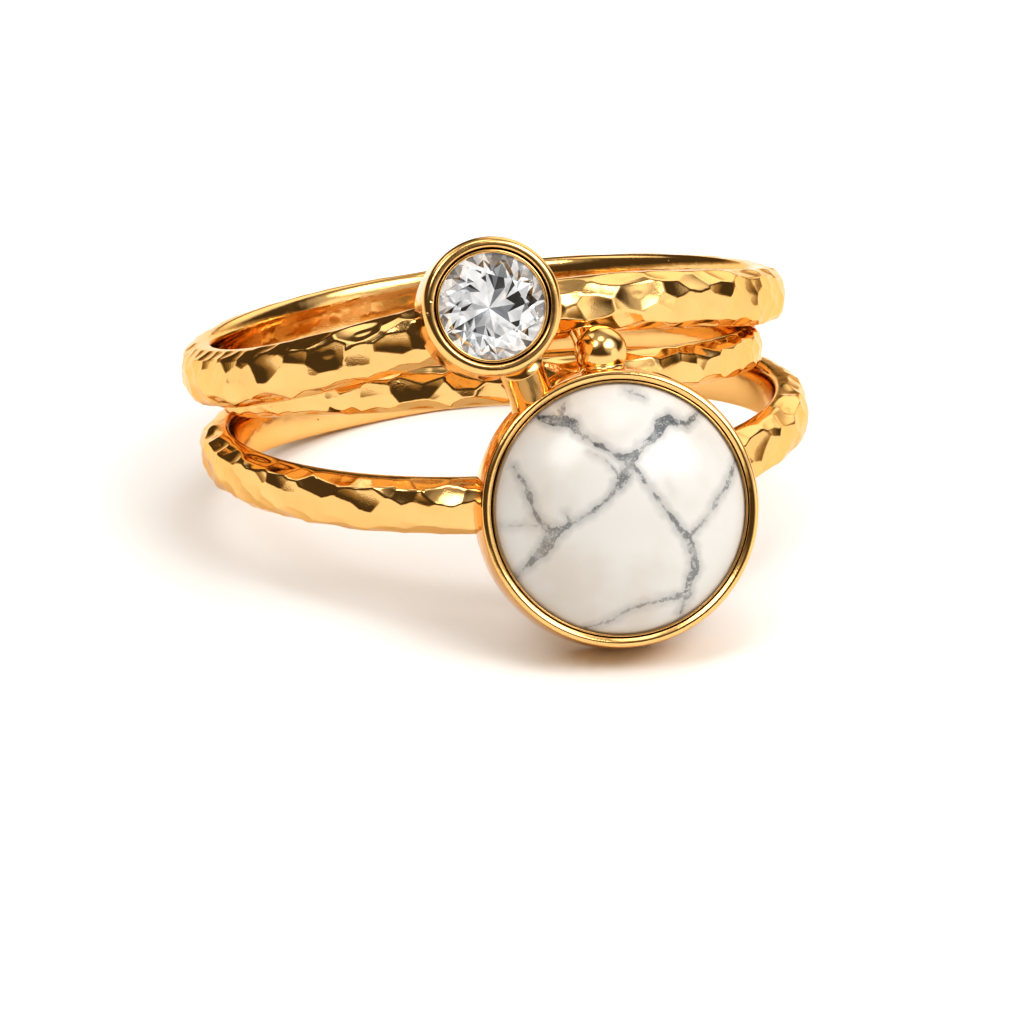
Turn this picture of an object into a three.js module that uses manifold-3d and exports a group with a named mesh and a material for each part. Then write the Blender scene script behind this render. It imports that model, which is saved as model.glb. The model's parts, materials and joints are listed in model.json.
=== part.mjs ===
// A ring of three hammered gold bands, soldered together at the back and fanned open at the front.
// The top band carries a small clear brilliant, the bottom band a large howlite cabochon.
// Millimetres and degrees. The ring is worked out standing on its own axis, +Z, with its front at -Y:
// an azimuth is 0 at the front and grows towards +X. At the end it is laid down as it rests on a table.

import * as THREE from 'three';
import { mergeVertices } from 'three/addons/utils/BufferGeometryUtils.js';
import Module from 'manifold-3d';

const wasm = await Module();
wasm.setup();

// Bands
const fingerRadius = 8.65;
const outerBandHeight = 1.85;
const outerBandThickness = 1.2;
const middleBandHeight = 1.38;
const middleBandThickness = 0.76;
const middleBandStep = 0.55;
const solderDepth = 0.17;
const fanLift = 2.04;
const sideTuck = 0.25;
const hammerDepth = 0.07;

// Howlite cabochon and its setting
const cabochonDiameter = 8.0;
const cabochonSide = 1.22;
const cabochonDome = 1.95;
const cabochonBevel = 0.2;
const largeWall = 0.19;
const largeFlare = 0.15;
const largeLipDepth = 0.19;
const largeFootRound = 0.3;
const largeAzimuth = 17.3;
const largeFacing = 4;
const largeTiltUp = 9.5;
const largeAbove = 0.03;

// Clear brilliant and its setting
const brilliantDiameter = 3.5;
const brilliantCrown = 0.525;
const brilliantGirdle = 0.07;
const brilliantPavilion = 1.4;
const smallWall = 0.34;
const smallFlare = 0.02;
const smallLipDepth = 0.45;
const smallFootRound = 0.28;
const smallAzimuth = 1.95;
const smallFacing = 7.5;
const smallTiltUp = 12.5;
const smallAbove = 0.96;

// Both settings
const stoneClearance = 0.05;
const settingPlate = 0.34;
const settingSink = 0.32;
const lipCover = 0.12;

// What joins the settings
const postRadius = 0.62;
const postFlare = 0.76;
const postAngle = 31.5;
const neckRadius = 0.36;
const neckFlare = 0.56;
const neckAngle = 3;
const neckAzimuth = 19.2;
const ballDiameter = 1.62;
const ballAngle = -1.1;
const ballSeat = 0.2;

// How finely the round forms are divided
const bandSteps = 72;
const bandRows = 7;
const largeSides = 48;
const smallSides = 36;
const postSides = 16;
const ballSides = 24;

const middleSink = (outerBandHeight + middleBandHeight) / 2 - solderDepth;
const bandOuterRadius = fingerRadius + outerBandThickness;

// One row a band. level is its place at the back in steps of middleSink, lift its rise at the front as a
// share of fanLift, peak the azimuth of that rise, focus how narrow it is, tuck its rise at the left side as
// a share of sideTuck, side and back its shift along X and Y as shares of its thickness.
const bandTable = [
  { name: 'top', level: 1, lift: 1.0, peak: 13.3, focus: 3.9, tuck: -0.2, side: 0, back: 0, seed: 11 },
  { name: 'middle', level: 0, lift: 0.67, peak: -17.5, focus: 2.0, tuck: 0, side: 0.12, back: 0.2, seed: 23 },
  { name: 'bottom', level: -1, lift: -0.52, peak: 28.5, focus: 2.1, tuck: 1, side: 0.27, back: 0, seed: 37 },
];

const radians = THREE.MathUtils.degToRad;

function bandSize(row) {
  if (row.name === 'middle') {
    return { inner: fingerRadius - middleBandStep, thickness: middleBandThickness, height: middleBandHeight };
  }
  return { inner: fingerRadius, thickness: outerBandThickness, height: outerBandHeight };
}

// Bell that is 1 at the peak and 0 opposite it, angles in radians
function bell(azimuth, peak, focus) {
  return ((1 + Math.cos(azimuth - peak)) / 2) ** focus;
}

// Height of a band's centre line at an azimuth in radians
function bandLine(row, azimuth) {
  const tuckPeak = radians(-92);
  const tuckFocus = 8;
  const rise = row.lift * fanLift * bell(azimuth, radians(row.peak), row.focus);
  return row.level * middleSink + rise + row.tuck * sideTuck * bell(azimuth, tuckPeak, tuckFocus);
}

// A repeatable number from 0 to 1 for a hammer mark
function markNumber(step, line, seed) {
  const value = Math.sin(step * 12.9898 + line * 78.233 + seed * 37.719) * 43758.5453;
  return value - Math.floor(value);
}

// Closed outline of a band: flat inside, domed outside, as [outward, up] pairs from the inner wall
function bandOutline(size) {
  const edgeShare = 0.24;
  const innerShare = 0.47;
  const domePower = 0.78;
  const outline = [[0, -innerShare * size.height]];
  for (let i = 0; i < bandRows; i++) {
    const angle = -Math.PI / 2 + (Math.PI * i) / (bandRows - 1);
    const out = Math.max(Math.cos(angle), 0) ** domePower;
    const up = Math.sign(Math.sin(angle)) * Math.abs(Math.sin(angle)) ** domePower;
    outline.push([size.thickness * (edgeShare + (1 - edgeShare) * out), (size.height / 2) * up]);
  }
  outline.push([0, innerShare * size.height]);
  return outline;
}

// The outline carried round the finger, its domed side beaten into flat marks
function bandGeometry(row) {
  const wanderShare = 0.7;
  const staggerShare = 0.5;
  const dentSeed = row.seed + 5;
  const size = bandSize(row);
  const outline = bandOutline(size);
  const count = outline.length;
  const places = [];
  const faces = [];
  const stepAngle = (2 * Math.PI) / bandSteps;
  for (let step = 0; step < bandSteps; step++) {
    for (let line = 0; line < count; line++) {
      const beaten = line > 1 && line < count - 2;
      const wander = beaten ? (markNumber(step, line, row.seed) - 0.5) * wanderShare : 0;
      const stagger = beaten && line % 2 ? staggerShare : 0;
      const dent = beaten ? markNumber(step, line, dentSeed) * hammerDepth : 0;
      const azimuth = (step + wander + stagger) * stepAngle;
      const radius = size.inner + outline[line][0] - dent;
      places.push(
        radius * Math.sin(azimuth) + row.side * size.thickness,
        -radius * Math.cos(azimuth) + row.back * size.thickness,
        bandLine(row, azimuth) + outline[line][1],
      );
      const next = ((step + 1) % bandSteps) * count;
      const here = step * count;
      const up = (line + 1) % count;
      if (line % 2) {
        faces.push(here + line, next + line, next + up, here + line, next + up, here + up);
      } else {
        faces.push(here + line, next + line, here + up, next + line, next + up, here + up);
      }
    }
  }
  const geometry = new THREE.BufferGeometry();
  geometry.setAttribute('position', new THREE.Float32BufferAttribute(places, 3));
  geometry.setIndex(faces);
  return geometry;
}

// Position only, shared corners merged, and the empty triangles at poles dropped
function closedMesh(geometry) {
  geometry.deleteAttribute('normal');
  geometry.deleteAttribute('uv');
  const merged = mergeVertices(geometry, 1e-4);
  const corners = merged.index.array;
  const kept = [];
  for (let i = 0; i < corners.length; i += 3) {
    const [a, b, c] = [corners[i], corners[i + 1], corners[i + 2]];
    if (a !== b && b !== c && c !== a) {
      kept.push(a, b, c);
    }
  }
  merged.setIndex(kept);
  return merged;
}

// A profile of [radius, height] pairs turned about Z
function turned(profile, sides) {
  const points = profile.map(([radius, height]) => new THREE.Vector2(radius, height));
  const geometry = new THREE.LatheGeometry(points, sides);
  geometry.rotateX(Math.PI / 2);
  return closedMesh(geometry);
}

function toSolid(geometry) {
  const vertProperties = Float32Array.from(geometry.attributes.position.array);
  const triVerts = Uint32Array.from(geometry.index.array);
  return new wasm.Manifold(new wasm.Mesh({ numProp: 3, vertProperties, triVerts }));
}

function fromSolid(solid) {
  const mesh = solid.getMesh();
  const geometry = new THREE.BufferGeometry();
  geometry.setAttribute('position', new THREE.Float32BufferAttribute(mesh.vertProperties, 3));
  geometry.setIndex(Array.from(mesh.triVerts));
  return geometry;
}

// Place of a setting: +Z faces out of the stone, +Y up, origin at the middle of the rim's front
function settingFrame(azimuth, facing, tiltUp, distance, height) {
  const place = radians(azimuth);
  const turn = radians(facing);
  const lean = radians(tiltUp);
  const out = new THREE.Vector3(
    Math.sin(turn) * Math.cos(lean),
    -Math.cos(turn) * Math.cos(lean),
    Math.sin(lean),
  );
  const right = new THREE.Vector3(Math.cos(turn), Math.sin(turn), 0);
  const up = new THREE.Vector3().crossVectors(out, right);
  const frame = new THREE.Matrix4().makeBasis(right, up, out);
  frame.setPosition(distance * Math.sin(place), -distance * Math.cos(place), height);
  return frame;
}

// A setting's body: a foot with its corner rounded off, a wall, and the rim, whose table gives the place
// across from the lip's edge, 0, to the wall's outside, 1, and the depth behind the rim's front, both as
// shares of the rim's width
function settingBody({ foot, footRound, depth, outside, opening, rimTable, sides }) {
  const cornerShare = 0.25;
  const width = outside - opening;
  const profile = [
    [0, -depth],
    [foot - footRound, -depth],
    [foot - cornerShare * footRound, cornerShare * footRound - depth],
    [foot, footRound - depth],
  ];
  let height = 0;
  for (const { across, down } of rimTable) {
    height = -down * width;
    profile.push([opening + across * width, height]);
  }
  profile.push([0, height]);
  return turned(profile, sides);
}

// Cabochon: flat back, straight side, dome whose shoulder lies under the setting's lip
const cabochonRadius = cabochonDiameter / 2;
const largeOpening = cabochonRadius - lipCover;

function domeFill(radius) {
  const shoulderPower = 0.65;
  return Math.max(1 - (radius / cabochonRadius) ** 2, 0) ** shoulderPower;
}

const cabochonShoulder = -(largeLipDepth + stoneClearance + cabochonDome * domeFill(largeOpening));
const cabochonBack = cabochonShoulder - cabochonSide;

function cabochonGeometry() {
  const domeRings = 9;
  const ringPower = 0.9;
  const profile = [
    [0, cabochonBack],
    [cabochonRadius - cabochonBevel, cabochonBack],
    [cabochonRadius, cabochonBack + cabochonBevel],
  ];
  for (let i = 0; i <= domeRings; i++) {
    const radius = cabochonRadius * Math.cos((Math.PI / 2) * (i / domeRings) ** ringPower);
    profile.push([i < domeRings ? radius : 0, cabochonShoulder + cabochonDome * domeFill(radius)]);
  }
  return turned(profile, largeSides);
}

// Body of the large setting: flared wall, thin rounded rim, fine lip over the stone's shoulder
const largeInner = cabochonRadius + stoneClearance;
const largeRim = largeInner + largeWall;
const largeFloor = cabochonBack - stoneClearance;
const largeStand = settingPlate - largeFloor;

function largeSettingGeometry() {
  return settingBody({
    foot: largeRim + largeFlare,
    footRound: largeFootRound,
    depth: largeStand + settingSink,
    outside: largeRim,
    opening: largeOpening,
    rimTable: [
      { across: 1.32, down: 3.1 },
      { across: 1.13, down: 1.25 },
      { across: 1.0, down: 0.56 },
      { across: 0.8, down: 0.14 },
      { across: 0.5, down: 0 },
      { across: 0.2, down: 0.16 },
      { across: 0.11, down: 0.31 },
      { across: -0.33, down: 0.55 },
    ],
    sides: largeSides,
  });
}

// What is cut out for the cabochon, open through the lip
function largePocketGeometry() {
  return turned([
    [0, largeFloor],
    [largeInner, largeFloor],
    [largeInner, -largeLipDepth],
    [largeOpening, -largeLipDepth],
    [largeOpening, largeRim],
    [0, largeRim],
  ], largeSides);
}

// Brilliant: table, eight stars, eight kites, sixteen upper halves, girdle, and a pavilion to match
const tableShare = 0.57;
const brilliantRadius = brilliantDiameter / 2;
const tableRadius = tableShare * brilliantRadius;
const crownSlope = brilliantCrown / (brilliantRadius - tableRadius);
const pavilionSlope = brilliantPavilion / brilliantRadius;
const girdleTop = -(smallLipDepth + stoneClearance + lipCover * crownSlope);
const brilliantTop = girdleTop + brilliantCrown;
const girdleBottom = girdleTop - brilliantGirdle;
const culet = girdleBottom - brilliantPavilion;

function brilliantGeometry() {
  const starShare = 0.79;
  const lowerShare = 0.24;
  const mains = 8;
  const half = Math.PI / mains;
  const starRadius = starShare * brilliantRadius;
  const lowerRadius = lowerShare * brilliantRadius;
  const starHeight = girdleTop + crownSlope * (brilliantRadius - starRadius * Math.cos(half));
  const lowerHeight = culet + pavilionSlope * lowerRadius * Math.cos(half);
  const corner = (radius, halves, height) => [
    radius * Math.cos(halves * half),
    radius * Math.sin(halves * half),
    height,
  ];
  const places = [];
  const facet = (...corners) => {
    for (let i = 1; i < corners.length - 1; i++) {
      places.push(...corners[0], ...corners[i], ...corners[i + 1]);
    }
  };
  const table = [];
  for (let main = 0; main < mains; main++) {
    table.push(corner(tableRadius, 2 * main, brilliantTop));
  }
  facet(...table);
  for (let main = 0; main < mains; main++) {
    const at = 2 * main;
    const star = corner(starRadius, at + 1, starHeight);
    const starBefore = corner(starRadius, at - 1, starHeight);
    const low = corner(lowerRadius, at + 1, lowerHeight);
    const lowBefore = corner(lowerRadius, at - 1, lowerHeight);
    const tip = [0, 0, culet];
    facet(corner(tableRadius, at, brilliantTop), star, corner(tableRadius, at + 2, brilliantTop));
    facet(corner(tableRadius, at, brilliantTop), starBefore, corner(brilliantRadius, at, girdleTop), star);
    facet(tip, low, corner(brilliantRadius, at, girdleBottom), lowBefore);
    for (const from of [at, at + 1]) {
      const upperA = corner(brilliantRadius, from, girdleTop);
      const upperB = corner(brilliantRadius, from + 1, girdleTop);
      const lowerA = corner(brilliantRadius, from, girdleBottom);
      const lowerB = corner(brilliantRadius, from + 1, girdleBottom);
      facet(star, upperA, upperB);
      facet(upperA, lowerA, lowerB, upperB);
      facet(low, lowerB, lowerA);
    }
  }
  const geometry = new THREE.BufferGeometry();
  geometry.setAttribute('position', new THREE.Float32BufferAttribute(places, 3));
  return closedMesh(geometry);
}

// Body of the small setting: wide rounded rim, a groove and a fine lip
const smallInner = brilliantRadius + stoneClearance;
const smallRim = smallInner + smallWall;
const smallOpening = brilliantRadius - lipCover;
const smallPoint = culet - stoneClearance * Math.hypot(1, pavilionSlope);
const smallStand = stoneClearance - smallPoint;

function smallSettingGeometry() {
  return settingBody({
    foot: smallRim + smallFlare,
    footRound: smallFootRound,
    depth: smallStand + settingSink,
    outside: smallRim,
    opening: smallOpening,
    rimTable: [
      { across: 0.9, down: 1.2 },
      { across: 1.0, down: 0.63 },
      { across: 0.9, down: 0.25 },
      { across: 0.62, down: 0 },
      { across: 0.33, down: 0.12 },
      { across: 0.17, down: 0.38 },
      { across: 0.09, down: 0.29 },
      { across: -0.24, down: 0.47 },
    ],
    sides: smallSides,
  });
}

// What is cut out for the brilliant, a cone behind the girdle and open through the lip
function smallPocketGeometry() {
  return turned([
    [0, smallPoint],
    [smallInner, smallPoint + pavilionSlope * smallInner],
    [smallInner, -smallLipDepth],
    [smallOpening, -smallLipDepth],
    [smallOpening, smallRim],
    [0, smallRim],
  ], smallSides);
}

// A soldered post: waisted, with a fillet that flares at both ends
function postGeometry(from, to, waist, flare) {
  const length = from.distanceTo(to);
  const rings = 7;
  const flarePower = 2.5;
  const profile = [[0, 0]];
  for (let i = 0; i < rings; i++) {
    const along = i / (rings - 1);
    const spread = Math.abs(2 * along - 1) ** flarePower;
    profile.push([waist + (flare - waist) * spread, along * length]);
  }
  profile.push([0, length]);
  const geometry = turned(profile, postSides);
  const direction = new THREE.Vector3().subVectors(to, from).normalize();
  const turn = new THREE.Quaternion().setFromUnitVectors(new THREE.Vector3(0, 0, 1), direction);
  geometry.applyQuaternion(turn);
  geometry.translate(from.x, from.y, from.z);
  return geometry;
}

// A point on a setting's wall: angle from straight up towards the left, radius and depth behind the rim
function wallPoint(frame, angle, radius, depth) {
  const turn = radians(angle);
  return new THREE.Vector3(-radius * Math.sin(turn), radius * Math.cos(turn), -depth).applyMatrix4(frame);
}

const topRow = bandTable[0];
const bottomRow = bandTable[2];

const largeFrame = settingFrame(
  largeAzimuth,
  largeFacing,
  largeTiltUp,
  bandOuterRadius + largeStand,
  bandLine(bottomRow, radians(largeAzimuth)) + largeAbove,
);
const smallFrame = settingFrame(
  smallAzimuth,
  smallFacing,
  smallTiltUp,
  bandOuterRadius + smallStand,
  bandLine(topRow, radians(smallAzimuth)) + smallAbove,
);

// How deep into a setting's wall the joined pieces reach, as a share of the wall
const wallBite = 0.8;

function joiningPost() {
  const depthShare = 0.5;
  const from = wallPoint(largeFrame, postAngle, largeRim - wallBite * largeWall, depthShare * largeStand);
  const behind = new THREE.Vector3(0, 0, -depthShare * smallStand).applyMatrix4(smallFrame);
  const towards = new THREE.Vector3().subVectors(from, behind);
  const facing = new THREE.Vector3().setFromMatrixColumn(smallFrame, 2);
  towards.addScaledVector(facing, -towards.dot(facing)).normalize();
  const to = behind.addScaledVector(towards, smallRim - wallBite * smallWall);
  return postGeometry(from, to, postRadius, postFlare);
}

function bandNeck() {
  const depthShare = 0.7;
  const insideShare = 0.62;
  const lowShare = 0.36;
  const from = wallPoint(largeFrame, neckAngle, largeRim - wallBite * largeWall, depthShare * largeStand);
  const azimuth = radians(neckAzimuth);
  const radius = fingerRadius + insideShare * outerBandThickness;
  const to = new THREE.Vector3(
    radius * Math.sin(azimuth),
    -radius * Math.cos(azimuth),
    bandLine(topRow, azimuth) - lowShare * outerBandHeight,
  );
  return postGeometry(from, to, neckRadius, neckFlare);
}

function goldBall() {
  const depthShare = 0.42;
  const geometry = closedMesh(new THREE.SphereGeometry(ballDiameter / 2, ballSides, ballSides / 2));
  const reach = largeRim + ballDiameter / 2 - ballSeat;
  const place = wallPoint(largeFrame, ballAngle, reach, depthShare * largeStand);
  geometry.translate(place.x, place.y, place.z);
  return geometry;
}

// All the metal soldered into one body, then the two stones' pockets cut out of it
function ringMetalGeometry() {
  let solid = toSolid(largeSettingGeometry().applyMatrix4(largeFrame));
  solid = solid.add(toSolid(smallSettingGeometry().applyMatrix4(smallFrame)));
  solid = solid.add(toSolid(joiningPost()));
  solid = solid.add(toSolid(bandNeck()));
  solid = solid.add(toSolid(goldBall()));
  for (const row of bandTable) {
    solid = solid.add(toSolid(bandGeometry(row)));
  }
  solid = solid.subtract(toSolid(largePocketGeometry().applyMatrix4(largeFrame)));
  solid = solid.subtract(toSolid(smallPocketGeometry().applyMatrix4(smallFrame)));
  return fromSolid(solid);
}

function named(name, geometry, material) {
  const mesh = new THREE.Mesh(geometry, material);
  mesh.name = name;
  return mesh;
}

const gold = new THREE.MeshStandardMaterial({ color: '#e0a13a', metalness: 1, roughness: 0.16 });
const howlite = new THREE.MeshStandardMaterial({ color: '#e8e8e8', metalness: 0, roughness: 0.12 });
const clearStone = new THREE.MeshStandardMaterial({ color: '#f3f5f7', metalness: 0, roughness: 0.03 });

const pieces = [
  named('ring_metal', ringMetalGeometry(), gold),
  named('howlite_cabochon', cabochonGeometry().applyMatrix4(largeFrame), howlite),
  named('clear_brilliant', brilliantGeometry().applyMatrix4(smallFrame), clearStone),
];

// Middle of the volume of all pieces together
function middleOfVolume() {
  const [a, b, c] = [new THREE.Vector3(), new THREE.Vector3(), new THREE.Vector3()];
  const middle = new THREE.Vector3();
  let total = 0;
  for (const { geometry } of pieces) {
    const corners = geometry.index.array;
    const place = geometry.attributes.position;
    for (let i = 0; i < corners.length; i += 3) {
      a.fromBufferAttribute(place, corners[i]);
      b.fromBufferAttribute(place, corners[i + 1]);
      c.fromBufferAttribute(place, corners[i + 2]);
      const volume = a.dot(b.clone().cross(c)) / 6;
      total += volume;
      middle.addScaledVector(a.add(b).add(c), volume / 4);
    }
  }
  return middle.divideScalar(total);
}

// Lowest value of a function with one dip between two limits, by golden section
function lowest(value, from, to) {
  const share = (Math.sqrt(5) - 1) / 2;
  let [low, high] = [from, to];
  for (let i = 0; i < 30; i++) {
    const left = high - share * (high - low);
    const right = low + share * (high - low);
    if (value(left) < value(right)) {
      high = right;
    } else {
      low = left;
    }
  }
  return (low + high) / 2;
}

// The way up of a ring at rest on a table: the lean about X and Y that brings the middle of its volume lowest
function upAtRest() {
  const middle = middleOfVolume();
  const metal = pieces[0].geometry.attributes.position;
  const upward = (lean, roll) => new THREE.Vector3(Math.sin(roll), Math.sin(lean), 1).normalize();
  const heightAbove = (lean, roll) => {
    const up = upward(lean, roll);
    let lowestPoint = Infinity;
    for (let i = 0; i < metal.count; i++) {
      const height = metal.getX(i) * up.x + metal.getY(i) * up.y + metal.getZ(i) * up.z;
      lowestPoint = Math.min(lowestPoint, height);
    }
    return middle.dot(up) - lowestPoint;
  };
  const widest = radians(25);
  const leanFor = (roll) => lowest((lean) => heightAbove(lean, roll), -widest, widest);
  const roll = lowest((angle) => heightAbove(leanFor(angle), angle), -widest, widest);
  return upward(leanFor(roll), roll);
}

const ring = new THREE.Group();
ring.quaternion.setFromUnitVectors(upAtRest(), new THREE.Vector3(0, 0, 1));
ring.add(...pieces);

const part = new THREE.Group();
part.add(ring);
part.updateMatrixWorld(true);

const box = new THREE.Box3().setFromObject(ring, true);
ring.position.set(-(box.min.x + box.max.x) / 2, -(box.min.y + box.max.y) / 2, -box.min.z);
part.updateMatrixWorld(true);

export default part;
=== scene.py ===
# Three hammered gold bands soldered into one ring, with a howlite cabochon and a clear brilliant.
# Shapes are worked out in millimetres in the ring's own frame: finger axis +Z, front at -Y, an azimuth
# of 0 at the front growing towards +X. The record's finger hole then says how the ring lies.
import json
import math

import bmesh
import bpy
import numpy as np
from mathutils import Matrix, Vector


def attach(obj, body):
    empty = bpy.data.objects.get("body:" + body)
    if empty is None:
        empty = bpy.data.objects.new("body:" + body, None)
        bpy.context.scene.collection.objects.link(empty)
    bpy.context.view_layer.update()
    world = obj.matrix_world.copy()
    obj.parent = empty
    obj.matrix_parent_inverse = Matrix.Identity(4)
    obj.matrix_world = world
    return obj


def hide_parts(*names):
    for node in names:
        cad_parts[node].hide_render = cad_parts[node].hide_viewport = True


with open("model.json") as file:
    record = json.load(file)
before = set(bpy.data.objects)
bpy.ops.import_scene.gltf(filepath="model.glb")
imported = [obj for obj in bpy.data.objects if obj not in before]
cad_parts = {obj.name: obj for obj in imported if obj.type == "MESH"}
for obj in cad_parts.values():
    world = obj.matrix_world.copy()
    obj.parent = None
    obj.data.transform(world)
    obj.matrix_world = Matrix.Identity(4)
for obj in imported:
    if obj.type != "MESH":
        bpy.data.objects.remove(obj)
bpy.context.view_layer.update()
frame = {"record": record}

hole = frame["record"]["mounts"][0]
lean = Vector((0, 0, 1)).rotation_difference(Vector(hole["axis"]).normalized())
layDown = Matrix.Translation(Vector(hole["pos_m"])) @ lean.to_matrix().to_4x4() @ Matrix.Scale(0.001, 4)
layDown = np.array(layDown)
print("frame loaded")


# points carried by a 4x4 matrix: turned and scaled, then shifted
def moved(points, matrix):
    return points @ matrix[:3, :3].T + matrix[:3, 3]


# four corners a face on a grid whose point (row, column) has the number row * columns + column
def gridFaces(rows, columns, closeRows, closeColumns):
    row, column = np.meshgrid(
        np.arange(rows if closeRows else rows - 1),
        np.arange(columns if closeColumns else columns - 1),
        indexing="ij",
    )
    nextRow, nextColumn = (row + 1) % rows, (column + 1) % columns
    corners = [row * columns + column, nextRow * columns + column,
               nextRow * columns + nextColumn, row * columns + nextColumn]
    return np.stack(corners, -1).reshape(-1, 4)


mergeDistance, thinnestEdge = 2e-7, 1e-7   # metres: points nearer than this are one point


# one closed piece: points in the ring's millimetres, laid down at rest, doubles merged, faces outward
def addPiece(name, points, faces, material, node, smooth=True, attributes=None):
    mesh = bpy.data.meshes.new(name)
    mesh.from_pydata(moved(points, layDown), [], faces)
    for label, values in (attributes or {}).items():
        attribute = mesh.attributes.new(label, "FLOAT", "POINT")
        attribute.data.foreach_set("value", values.astype(np.float32))
    work = bmesh.new()
    work.from_mesh(mesh)
    bmesh.ops.remove_doubles(work, verts=work.verts, dist=mergeDistance)
    bmesh.ops.dissolve_degenerate(work, edges=work.edges, dist=thinnestEdge)
    bmesh.ops.recalc_face_normals(work, faces=work.faces)
    work.to_mesh(mesh)
    work.free()
    if smooth:
        mesh.shade_smooth()
    else:
        mesh.shade_flat()
    mesh.materials.append(material)
    piece = bpy.data.objects.new(name, mesh)
    bpy.context.scene.collection.objects.link(piece)
    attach(piece, "root")
    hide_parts(node)
    return piece


# path through (across, up, rounding) corners: each corner becomes a curve that leaves one side and joins
# the next at the rounding's distance, or at most of the half side if that is shorter
def roundedPath(corners, steps=6, mostOfSide=0.45):
    path = [np.array([corners[0][:2]], float)]
    share = np.linspace(0, 1, steps + 1)[:, None]
    for before, corner, after in zip(corners, corners[1:], corners[2:]):
        here = np.array(corner[:2], float)
        sides = [np.array(other[:2], float) - here for other in (before, after)]
        lengths = [np.linalg.norm(side) for side in sides]
        cut = min(corner[2], mostOfSide * lengths[0], mostOfSide * lengths[1])
        start, end = (here + side / length * cut for side, length in zip(sides, lengths))
        path.append((1 - share) ** 2 * start + 2 * share * (1 - share) * here + share ** 2 * end)
    path.append(np.array([corners[-1][:2]], float))
    return np.concatenate(path)


# a profile of (radius, height) carried round local Z: x is the radius times the turn's sine, y its cosine
def turned(profile, steps):
    turn = np.linspace(0, 2 * np.pi, steps, endpoint=False)[:, None]
    radius, height = profile[:, 0][None], profile[:, 1][None]
    points = np.stack([radius * np.sin(turn), radius * np.cos(turn), height + 0 * turn], -1)
    return points.reshape(-1, 3), gridFaces(steps, len(profile), True, False)


# hex sRGB to linear red, green and blue: below 0.04045 divided by 12.92, above it a power of 2.4
def colourOf(text):
    parts = [int(text[i:i + 2], 16) / 255 for i in (1, 3, 5)]
    return (*[p / 12.92 if p <= 0.04045 else ((p + 0.055) / 1.055) ** 2.4 for p in parts], 1.0)


# a node with its settings and sockets; an input is a number, a colour or another node's output
def addNode(tree, kind, settings=None, inputs=None):
    node = tree.nodes.new(kind)
    for label, value in (settings or {}).items():
        setattr(node, label, value)
    for label, value in (inputs or {}).items():
        if isinstance(value, bpy.types.NodeSocket):
            tree.links.new(value, node.inputs[label])
        else:
            node.inputs[label].default_value = value
    return node


# texture scale whose lumps are so many millimetres wide, on coordinates in metres
def lumps(millimetres):
    return 1000 / millimetres


# a material with an empty tree, and the shader's place on the piece in metres
def newMaterial(name):
    material = bpy.data.materials.new(name)
    material.use_nodes = True
    tree = material.node_tree
    tree.nodes.clear()
    return material, tree, addNode(tree, "ShaderNodeTexCoord").outputs["Object"]


gold = {
    "colour": "#f3c680",      # 18 carat gold plate, warm yellow
    "deepColour": "#e9b266",  # redder where the plate is thick
    "toneMm": 1.4,
    "roughness": (0.05, 0.12),
    "smearMm": 0.5,
    "grainMm": 0.055,         # stipple from the hammer's face, finer in life, drawn as coarse as shows
    "grainPatchMm": 0.8,
    "grainPatchEdge": (0.52, 0.6),    # noise values where a patch fades in
    "grainStrength": (0.03, 0.22),    # outside and inside a patch
    "grainHeight": 0.00002,   # metres
    "rippleMm": 0.45,
    "rippleStrength": 0.25,
    "pitMm": 1.05,            # mm between stray pits
    "pitRadius": 0.07,        # mm
    "pitStrength": 0.5,
    "dentHeight": 0.00003,    # metres, of ripples and pits
    "paintedGrooveShade": "#2a1503",     # painted shade: near black where the grooves' shadow and dark reflections fall
    "edgeTint": "#ffe4be",    # gold stays warm at a glancing angle
}
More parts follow.
